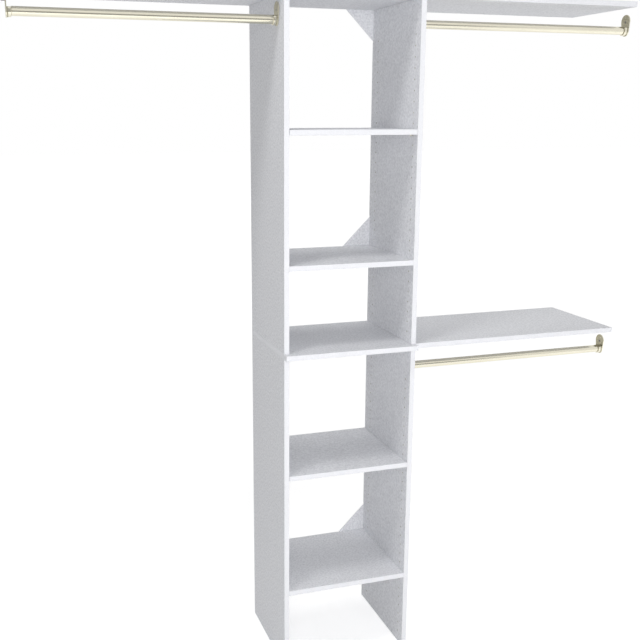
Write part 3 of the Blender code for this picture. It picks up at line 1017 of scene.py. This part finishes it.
@dataclass(frozen=True)
class Screw:
    """A countersunk wood screw with a cross recess and a rolled thread."""

    head_radius: float
    head_height: float
    shank_radius: float
    length: float
    thread_pitch: float = 1.4 * MM
    thread_height: float = 0.45 * MM
    ridge_width: float = 0.2
    point: float = 3 * MM
    recess: CrossRecess = CrossRecess(1.3 * MM)
    face_share: float = 0.9
    lip_share: float = 0.06
    head_rings: int = 14
    angles: int = 40
    rows_a_turn: int = 6

    def shell(self, stand: Stand) -> Shell:
        """Work the screw out: its head's top lies in the stand's plane and its point is below.

        The thread's radius is the core plus a ridge where height over pitch less angle over a turn
        is near a whole number and a half.

        Args:
            stand: where the screw goes.

        Returns:
            The mesh in the making.
        """
        angle = full_turn(self.angles)
        radius = np.linspace(0, self.face_share * self.head_radius, self.head_rings)[:, None]
        head = polar(radius, angle, self.recess.sunk(radius, angle, self.head_radius))
        lip = turned([(self.head_radius, -self.lip_share * self.head_height)], self.angles)
        run = self.length - self.head_height
        rows = int(run / self.thread_pitch * self.rows_a_turn)
        down = np.linspace(0, run, rows + 1)[:, None]
        phase = (down / self.thread_pitch - angle / (2 * math.pi)) % 1
        ridge = np.clip(1 - np.abs(phase - 0.5) / self.ridge_width, 0, 1)
        fade = ease(down, 0, 2 * self.thread_pitch)
        taper = 1 - ease(down, run - self.point, run)
        core = self.shank_radius - self.thread_height * fade
        reach = (core + self.thread_height * fade * ridge) * taper
        thread = polar(reach, angle, -self.head_height - down)
        shell = Shell()
        shell.add_grid(stand.place(head))
        shell.add_grid(stand.place(np.concatenate([head[-1:], lip])), smooth=False)
        shell.add_grid(stand.place(np.concatenate([lip, thread[:1]])), smooth=False)
        shell.add_grid(stand.place(thread))
        return shell


@dataclass(frozen=True)
class Bracket:
    """A cast rod bracket: a lobed plate with one screw showing, and an open-topped cup."""

    bore: float
    plate: float = 3 * MM
    foot_radius: float = 17.5 * MM
    lobe_radius: float = 21 * MM
    lobe_rise: float = 28 * MM
    front_round: float = 0.9 * MM
    back_round: float = 0.3 * MM
    screw_rise: float = 26 * MM
    screw_radius: float = 1.8 * MM
    screw_length: float = 15 * MM
    head_radius: float = 4 * MM
    head_height: float = 2.2 * MM
    clearance: float = 0.3 * MM
    cup_outer: float = 15.5 * MM
    cup_reach: float = 11 * MM
    arm_rise: float = 9 * MM
    flare: float = 1.5 * MM
    flare_reach: float = 3.5 * MM
    mouth_round: float = 0.8 * MM
    end_draw: float = 0.12
    angles: int = 96
    outline_steps: int = 200
    turn_points: int = 41

    # The casting's edges wear the bright satin nickel: polished nickel, and in part a painted
    # highlight beside the darker faces.
    POLISHED = 1
    FRONT_STEPS = 4
    BACK_STEPS = 2
    ARC_POINTS = 6
    FLARE_END = 2 + ARC_POINTS

    def outline(self, inset: float, angle: Array) -> Array:
        """Find how far the plate's outline lies from the screw, in each direction.

        The outline is the hull of two circles, the foot and the lobe, drawn in by the inset. A ray
        from the screw meets the farther of the circles, or the tangent between them.

        Args:
            inset: how far the outline is drawn in.
            angle: the directions.

        Returns:
            The distances.
        """
        lean = math.asin((self.lobe_radius - self.foot_radius) / self.lobe_rise)
        around = np.linspace(-lean, math.pi + lean, self.outline_steps)
        under = np.linspace(math.pi + lean, 2 * math.pi - lean, self.outline_steps)
        lobe = polar(self.lobe_radius - inset, around, 0) + np.array([0, self.lobe_rise, 0])
        foot = polar(self.foot_radius - inset, under, 0)
        share = np.linspace(0, 1, self.outline_steps)[1:-1, None]
        left = lobe[-1] + (foot[0] - lobe[-1]) * share
        right = foot[-1] + (lobe[0] - foot[-1]) * share
        points = np.concatenate([lobe, left, foot, right]) - np.array([0, self.screw_rise, 0])
        bearing = np.arctan2(points[:, 1], points[:, 0])
        distance = np.hypot(points[:, 0], points[:, 1])
        order = np.argsort(bearing)
        return np.interp(angle, bearing[order], distance[order], period=2 * math.pi)

    def add_plate(self, shell: Shell, stand: Stand) -> None:
        """Add the plate, as rings round its screw hole from the back of the bore to the back face.

        Args:
            shell: the mesh in the making.
            stand: where the bracket goes.
        """
        angle = np.linspace(-math.pi, math.pi, self.angles, endpoint=False)
        bore = np.full(self.angles, self.screw_radius + self.clearance)
        sink = np.full(self.angles, self.head_radius + self.clearance)
        seat = self.plate - self.head_height - self.clearance
        rings = [(bore, 0.0), (bore, seat), (sink, self.plate)]
        for far, drop in zip(*quarter_round(self.front_round, self.FRONT_STEPS)):
            rings.append((self.outline(self.front_round - far, angle), self.plate - drop))
        out, down = quarter_round(self.back_round, self.BACK_STEPS)
        for far, drop in zip(out[::-1], down[::-1]):
            rings.append((self.outline(self.back_round - far, angle), drop))
        grid = np.stack([polar(radius, angle, height) for radius, height in rings])
        grid[..., 1] += self.screw_rise
        placed = stand.place(grid)
        shell.add_grid(placed[:3])
        shell.add_grid(placed[2:4], smooth=False)
        shell.add_grid(placed[3:], self.POLISHED)
        shell.add_grid(placed[[-1, 0]], smooth=False)

    def cup_section(self) -> Array:
        """Draw the cup wall's section, out from the bore and up from inside the plate to its mouth.

        The flare falls from its full width to none as a quarter of a circle, and so do the rounds
        of the mouth.

        Returns:
            Closed points, out and up.
        """
        wall = self.cup_outer - self.bore
        mouth = self.plate + self.cup_reach
        out, rise = quarter_round(1, self.ARC_POINTS - 1)
        fall = 1 - out
        root = [(0, self.plate / 2), (wall + self.flare, self.plate / 2)]
        arcs = (
            (wall + self.flare * fall, self.plate + self.flare_reach * rise),
            (wall - self.mouth_round * rise, mouth - self.mouth_round * fall),
            (self.mouth_round * fall, mouth - self.mouth_round * rise),
        )
        return np.concatenate([root, *(np.stack(arc, axis=1) for arc in arcs)])

    def add_cup(self, shell: Shell, stand: Stand) -> None:
        """Carry the section round the U: down one arm, round under the tube and up the other.

        Args:
            shell: the mesh in the making.
            stand: where the bracket goes.
        """
        turn = np.linspace(math.pi, 2 * math.pi, self.turn_points)
        top = self.arm_rise
        arm = np.array([top, top - self.mouth_round / 2, top / 2])
        side, none = np.ones(len(arm)), np.zeros(len(arm))
        out_x = np.concatenate([-side, np.cos(turn), side])
        out_y = np.concatenate([none, np.sin(turn), none])
        rise = np.concatenate([arm, np.zeros(len(turn)), arm[::-1]])
        draw_in = np.zeros(len(rise))
        draw_in[[0, -1]] = self.end_draw
        section = self.cup_section()
        middle = section.mean(axis=0)
        drawn = middle + (section - middle)[None] * (1 - draw_in)[:, None, None]
        reach = self.bore + drawn[..., 0]
        x = out_x[:, None] * reach
        y = out_y[:, None] * reach + rise[:, None]
        placed = stand.place(np.stack([x, y, drawn[..., 1]], axis=-1))
        shell.add_grid(placed[:, : self.FLARE_END], closed=False)
        shell.add_grid(placed[:, self.FLARE_END - 1 :], self.POLISHED, closed=False)
        shell.add_grid(placed[:, [-1, 0]], closed=False)
        for end in (0, -1):
            shell.add_cap(placed[end], self.POLISHED)

    def build(self, name: str, stand: Stand) -> None:
        """Build the bracket and its upper screw.

        Args:
            name: the rod and the end, as in the node's name.
            stand: where it goes, on the plate's back at the rod's axis.
        """
        shell = Shell()
        self.add_plate(shell, stand)
        self.add_cup(shell, stand)
        # The faces wear the darker nickel, in part painted shade; the edges wear the bright nickel,
        # in part a painted highlight.
        node, finishes = f"{name}_bracket", (SHADED_CAST_NICKEL, NICKEL)
        shell.piece(f"{node}_casting", finishes, Slot.NICKEL, node)
        screw = Screw(self.head_radius, self.head_height, self.screw_radius, self.screw_length)
        seat = Stand(stand.place(np.array([0, self.screw_rise, self.plate])), stand.outwards)
        screw.shell(seat).piece(f"{name}_upper_screw", (ZINC,), Slot.SCREW, f"{name}_screw")


@dataclass(frozen=True)
class Tube:
    """A drawn steel tube whose free end may be rolled in."""

    radius: float
    roll: float = 0.0
    wall: float = 1 * MM
    chamfer: float = 0.25 * MM
    support: float = 0.5 * MM
    lip_steps: int = 5
    sides: int = 72

    def shell(self, stand: Stand, length: float) -> Shell:
        """Turn the tube's section about its axis, from its start to its free end.

        A support ring near each end keeps the smooth shading of the long walls straight.

        Args:
            stand: where it starts and which way it runs.
            length: how long it is.

        Returns:
            The mesh in the making.
        """
        bore = self.radius - self.wall
        out, down = quarter_round(self.roll or self.chamfer, self.lip_steps)
        lip = [(self.radius - drop, length - out[-1] + far) for far, drop in zip(out, down)]
        near, far = self.support, length - self.support
        start = [(bore, 0), (self.radius - self.chamfer, 0), (self.radius, self.chamfer)]
        supports = [(self.radius, self.chamfer + near), (self.radius, far - out[-1])]
        outside = [start[-1], *supports, *lip]
        end = [lip[-1], (bore, length)]
        inside = [end[-1], (bore, far), (bore, near), (bore, 0)]
        shell = Shell()
        for part, smooth in ((start, False), (outside, True), (end, False), (inside, True)):
            shell.add_grid(stand.place(turned(part, self.sides)), smooth=smooth)
        return shell


@dataclass(frozen=True)
class HangingRod:
    """A telescoping rod under a side shelf: two tubes and a bracket at each end."""

    name: str
    shelf: str
    side: Side
    layout: Layout
    roll: float = 0.8 * MM
    clearance: float = 0.3 * MM

    def build(self) -> None:
        """Build the tubes and the brackets."""
        outer, inner = f"{self.name}_outer_tube", f"{self.name}_inner_tube"
        low, high = corners(outer)
        axis = (low + high) / 2
        shelf_end = corners(self.shelf)[1 if self.side is Side.RIGHT else 0][0]
        tower_side = self.side.value * (self.layout.half_width + self.layout.gap)
        ends = (
            (outer, self.roll, "tower", tower_side, self.side.outwards),
            (inner, 0.0, "wall", shelf_end, -self.side.outwards),
        )
        radii = [self.tube(node, roll) for node, roll, *_ in ends]
        for radius, (_, _, end, x, outwards) in zip(radii, ends):
            stand = Stand(np.array([x, *axis[1:]]), outwards)
            Bracket(radius + self.clearance).build(f"{self.name}_{end}", stand)

    def tube(self, node: str, roll: float) -> float:
        """Build one of the tubes over its node's length.

        Args:
            node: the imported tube.
            roll: the radius of its rolled end, or zero.

        Returns:
            Its outer radius.
        """
        low, high = corners(node)
        start = (low + high) / 2
        start[0] = low[0] if self.side is Side.RIGHT else high[0]
        radius = (high[2] - low[2]) / 2
        shell = Tube(radius, roll).shell(Stand(start, self.side.outwards), high[0] - low[0])
        shell.piece(f"{node}_drawn", (NICKEL,), Slot.NICKEL, node)
        return radius


@dataclass(frozen=True)
class ShelfFittings:
    """The pins under the loose shelves, the cams in the fixed ones and the screws in the top."""

    layout: Layout
    pin_shaft: float = 2.2 * MM
    tip_share: float = 0.7
    tip_round: float = 0.6 * MM
    ledge_radius: float = 3.5 * MM
    nose_share: float = 0.85
    nose_round: float = 0.5 * MM
    cam_radius: float = 7.2 * MM
    cam_height: float = 12 * MM
    cam_inset: float = 24.3 * MM
    cam_round: float = 0.4 * MM
    cam_recess: CrossRecess = CrossRecess(2.5 * MM, half_width=0.12)
    cam_rings: int = 12
    neck_radius: float = 1.7 * MM
    collar_radius: float = 3.2 * MM
    collar_length: float = 3 * MM
    bolt_thread: float = 9 * MM
    angles: int = 32
    head_radius: float = 4.5 * MM
    head_height: float = 2.5 * MM
    screw_radius: float = 2.4 * MM
    screw_pitch: float = 2.2 * MM

    SMOOTH_PIN_BANDS = (1, 2, 4)

    def build(self) -> None:
        """Build the eight pins, the eight cams and the four screws."""
        for side in Side:
            for row in ("back", "front"):
                for level in ("lower", "upper"):
                    self.pin(f"{level}_shelf_pin_{row}_{side.word}", side)
                    self.cam(f"{level}_shelf_cam_{row}_{side.word}", side)
                self.top_screw(f"tower_top_screw_{row}_{side.word}")

    def mouth(self, side: Side, y: float, z: float) -> Stand:
        """Stand at a hole in a panel's inner face, pointing into the tower."""
        return Stand(np.array([side.value * self.layout.inner_x, y, z]), -side.outwards)

    def pin(self, node: str, side: Side) -> None:
        """Build a pin: a round shaft in the panel and a half-round ledge under the shelf.

        Rings run along the pin. A ring is a circle in the panel and a half disc, flat on top, at
        the ledge, and the end rings are drawn in to round the tip and the nose.

        Args:
            node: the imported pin.
            side: the side of the tower.
        """
        low, high = corners(node)
        shaft = high[0] - self.layout.inner_x
        if side is Side.LEFT:
            shaft = -self.layout.inner_x - low[0]
        gap = self.layout.gap
        ledge = (high[0] - low[0]) - shaft - gap
        turn = full_turn(self.angles)
        circle = np.stack([np.cos(turn), np.sin(turn)], axis=1) * self.pin_shaft
        disc = np.stack([np.cos(turn), np.minimum(np.sin(turn), 0)], axis=1) * self.ledge_radius
        nose = np.array([0, -self.ledge_radius / 2])
        rings = [
            (circle * 0.0, -shaft),
            (circle * self.tip_share, -shaft),
            (circle, -shaft + self.tip_round),
            (circle, gap),
            (disc, gap),
            (disc, gap + ledge - self.nose_round),
            (nose + (disc - nose) * self.nose_share, gap + ledge),
            (np.repeat(nose[None], self.angles, axis=0), gap + ledge),
        ]
        grid = [np.column_stack([ring, np.full(self.angles, along)]) for ring, along in rings]
        top = high[2] - max(0.0, high[2] - low[2] - self.ledge_radius)
        placed = self.mouth(side, (low[1] + high[1]) / 2, top).place(np.stack(grid))
        shell = Shell()
        for band in range(len(rings) - 1):
            shell.add_grid(placed[band : band + 2], smooth=band in self.SMOOTH_PIN_BANDS)
        shell.piece(f"{node}_turning", (NICKEL,), Slot.NICKEL, node)

    def cam(self, node: str, side: Side) -> None:
        """Build a cam with a cross recess, and the bolt that it holds in its shelf's middle.

        Args:
            node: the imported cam.
            side: the side of the tower.
        """
        low, high = corners(node)
        y = (low[1] + high[1]) / 2
        centre = np.array([side.value * (self.layout.inner_x - self.cam_inset), y, low[2]])
        down = Stand(centre, np.array([0, 0, -1.0]), np.array([0, 1.0, 0]))
        angle = full_turn(self.angles)
        radius = np.linspace(0, self.cam_radius - self.cam_round, self.cam_rings)[:, None]
        face = polar(radius, angle, self.cam_recess.sunk(radius, angle, self.cam_radius))
        edge = (self.cam_radius, -self.cam_round)
        wall = turned([edge, (edge[0], -self.cam_height), (0, -self.cam_height)], self.angles)
        shell = Shell()
        shell.add_grid(down.place(face))
        shell.add_grid(down.place(np.concatenate([face[-1:], wall])), smooth=False)
        gap, collar = self.layout.gap, self.layout.gap + self.collar_length
        bolt = (
            (0, -self.bolt_thread),
            (self.pin_shaft, -self.bolt_thread),
            (self.pin_shaft, gap),
            (self.collar_radius, gap),
            (self.collar_radius, collar),
            (self.neck_radius, collar),
            (self.neck_radius, self.cam_inset),
            (0, self.cam_inset),
        )
        shelf_low, shelf_high = corners(f"{node.split('_')[0]}_fixed_shelf")
        inwards = self.mouth(side, y, (shelf_low[2] + shelf_high[2]) / 2)
        shell.add_grid(inwards.place(turned(bolt, self.angles)), smooth=False)
        shell.piece(f"{node}_casting", (CASTING,), Slot.CASTING, node)

    def top_screw(self, node: str) -> None:
        """Build one of the screws that hold the top down.

        Args:
            node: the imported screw.
        """
        low, high = corners(node)
        centre = (low + high) / 2
        centre[2] = high[2]
        sizes = (self.head_radius, self.head_height, self.screw_radius, high[2] - low[2])
        seat = Stand(centre, np.array([0, 0, 1.0]), np.array([0, 1.0, 0]))
        shell = Screw(*sizes, thread_pitch=self.screw_pitch).shell(seat)
        shell.piece(f"{node}_steel", (ZINC,), Slot.SCREW, node)


@dataclass(frozen=True)
class Softbox:
    """A square softbox: where it hangs, its width in metres and its power in watts."""

    name: str
    place: Point
    width: float
    power: float


def blank_material(name: str) -> bpy.types.Material:
    """Make a material whose node tree is still empty."""
    made = bpy.data.materials.new(name)
    made.use_nodes = True
    made.node_tree.nodes.clear()
    return made


def sheet(name: str, outline: list[Point], material: bpy.types.Material) -> bpy.types.Object:
    """Lay a flat sheet of the studio.

    Args:
        name: its name.
        outline: its four corners in order.
        material: its material.

    Returns:
        The sheet.
    """
    mesh = bpy.data.meshes.new(name)
    mesh.from_pydata(outline, [], [(0, 1, 2, 3)])
    mesh.materials.append(material)
    made = bpy.data.objects.new(name, mesh)
    bpy.context.scene.collection.objects.link(made)
    return made


@dataclass(frozen=True)
class Studio:
    """The white floor and world, the soft lamps and the camera."""

    lamps: tuple[Softbox, ...] = (
        Softbox("high_key", (-1.48, -1.08, 4.2), 0.7, 27.0),
        Softbox("front_key", (-1.0, -3.2, 1.75), 1.2, 33.0),
        Softbox("front_fill", (0.0, -3.6, 1.2), 3.0, 37.0),
        Softbox("right_fill", (4.0, -1.0, 1.5), 2.0, 41.0),
        Softbox("high_back", (0.0, 0.8, 4.6), 1.6, 26.0),
    )
    aim: Point = (0.0, 0.0, 1.1)
    card_low: Point = (-2.0, -3.6, 0.5)
    card_high: Point = (2.5, -3.6, 2.5)
    card_level: float = 0.4
    floor_reach: float = 40.0
    floor_colour: str = "#F4F4F4"
    near_lift: float = 0.47
    far_lift: float = 0.74
    near: float = 1.0
    far: float = 7.0
    world_colour: str = "#FFFFFF"
    world_level: float = 0.35
    camera_place: Point = (-1.0124, -2.6767, 1.7559)
    camera_pitch: float = -13.353
    camera_yaw: float = -17.815
    focal_length: float = 51.086
    sensor_width: float = 36.0
    shift: tuple[float, float] = (0.0506, 0.0169)

    def build(self) -> None:
        """Build the whole studio."""
        self.floor()
        self.card()
        self.world()
        for softbox in self.lamps:
            self.lamp(softbox)
        self.camera()

    def seen(self, tree: Tree) -> Socket:
        """Tell camera, glossy and transmission rays from the rays that light the object.

        Args:
            tree: the node tree.

        Returns:
            One for rays that see the background, and otherwise zero.
        """
        rays = add_node(tree, "ShaderNodeLightPath").outputs
        either = rays["Is Camera Ray"]
        for name in ("Is Glossy Ray", "Is Transmission Ray"):
            links = {0: either, 1: rays[name]}
            either = add_node(tree, "ShaderNodeMath", {"operation": "MAXIMUM"}, links).outputs[0]
        return either

    def floor(self) -> None:
        """Lay the floor: pale, lifted towards white where it is seen, with the object's shadow.

        The lamps fall off with distance, so the lift grows smoothly from near to far.
        """
        reach = self.floor_reach
        flat = [(-reach, -reach, 0), (reach, -reach, 0), (reach, reach, 0), (-reach, reach, 0)]
        material = blank_material("white_studio_floor")
        tree = material.node_tree
        diffuse = add_node(tree, "ShaderNodeBsdfDiffuse", {"Color": linear(self.floor_colour)})
        place = add_node(tree, "ShaderNodeTexCoord").outputs["Object"]
        distance = add_node(tree, "ShaderNodeVectorMath", {"operation": "LENGTH"}, {0: place})
        ends = {
            "From Min": self.near,
            "From Max": self.far,
            "To Min": self.near_lift,
            "To Max": self.far_lift,
            "interpolation_type": "SMOOTHSTEP",
        }
        lift = add_node(tree, "ShaderNodeMapRange", ends, {"Value": distance.outputs["Value"]})
        links = {0: self.seen(tree), 1: lift.outputs["Result"]}
        level = add_node(tree, "ShaderNodeMath", {"operation": "MULTIPLY"}, links)
        glow = add_node(tree, "ShaderNodeEmission", None, {"Strength": level.outputs[0]})
        links = {0: diffuse.outputs[0], 1: glow.outputs[0]}
        both = add_node(tree, "ShaderNodeAddShader", None, links)
        add_node(tree, "ShaderNodeOutputMaterial", None, {"Surface": both.outputs[0]})
        floor = sheet("studio_floor", flat, material)

    def card(self) -> None:
        """Hang a grey card in front, which only metal mirrors: it draws a line along the rods."""
        (left, y, low), (right, _, high) = self.card_low, self.card_high
        upright = [(left, y, high), (right, y, high), (right, y, low), (left, y, low)]
        material = blank_material("grey_studio_card")
        tree = material.node_tree
        glow = add_node(tree, "ShaderNodeEmission", {"Strength": self.card_level})
        add_node(tree, "ShaderNodeOutputMaterial", None, {"Surface": glow.outputs[0]})
        card = sheet("grey_card", upright, material)
        card.visible_camera = card.visible_diffuse = card.visible_shadow = False

    def world(self) -> None:
        """Surround the object with even white, which shows as pure white where it is seen."""
        world = bpy.data.worlds.new("white_studio")
        world.use_nodes = True
        bpy.context.scene.world = world
        tree = world.node_tree
        tree.nodes.clear()
        ends = {"To Min": self.world_level, "To Max": 1.0}
        level = add_node(tree, "ShaderNodeMapRange", ends, {"Value": self.seen(tree)})
        colour, links = {"Color": linear(self.world_colour)}, {"Strength": level.outputs[0]}
        sky = add_node(tree, "ShaderNodeBackground", colour, links)
        add_node(tree, "ShaderNodeOutputWorld", None, {"Surface": sky.outputs[0]})

    def lamp(self, softbox: Softbox) -> None:
        """Hang a softbox and turn it towards the object.

        It stands outside the white that metal mirrors, so it shows in no reflection.

        Args:
            softbox: the softbox.
        """
        light = bpy.data.lights.new(softbox.name, "AREA")
        light.shape = "SQUARE"
        light.size = softbox.width
        light.energy = softbox.power
        lamp = bpy.data.objects.new(softbox.name, light)
        lamp.location = softbox.place
        towards = Vector(self.aim) - Vector(softbox.place)
        lamp.rotation_euler = towards.to_track_quat("-Z", "Y").to_euler()
        lamp.visible_glossy = False
        bpy.context.scene.collection.objects.link(lamp)

    def camera(self) -> None:
        """Stand the camera where the photograph was taken from."""
        scene = bpy.context.scene
        data = bpy.data.cameras.new("photograph")
        data.lens = self.focal_length
        data.sensor_width = self.sensor_width
        data.shift_x, data.shift_y = self.shift
        camera = bpy.data.objects.new("photograph", data)
        camera.location = self.camera_place
        tilt = math.radians(90 + self.camera_pitch)
        camera.rotation_euler = Euler((tilt, 0, math.radians(self.camera_yaw)))
        scene.collection.objects.link(camera)
        scene.camera = camera
        scene.view_settings.view_transform = "Standard"


def main() -> None:
    """Dress the whole organizer and light it."""
    logging.basicConfig(level=logging.INFO, format="%(message)s")
    layout = Layout.read()
    gussets = Gussets(layout)
    Tower(layout, gussets.rebates()).build()
    gussets.build()
    SideShelves(layout).build()
    HangingRod("left_rod", "left_top_shelf", Side.LEFT, layout).build()
    HangingRod("right_top_rod", "right_top_shelf", Side.RIGHT, layout).build()
    HangingRod("right_middle_rod", "right_middle_shelf", Side.RIGHT, layout).build()
    ShelfFittings(layout).build()
    Studio().build()


if __name__ == "__main__":
    main()
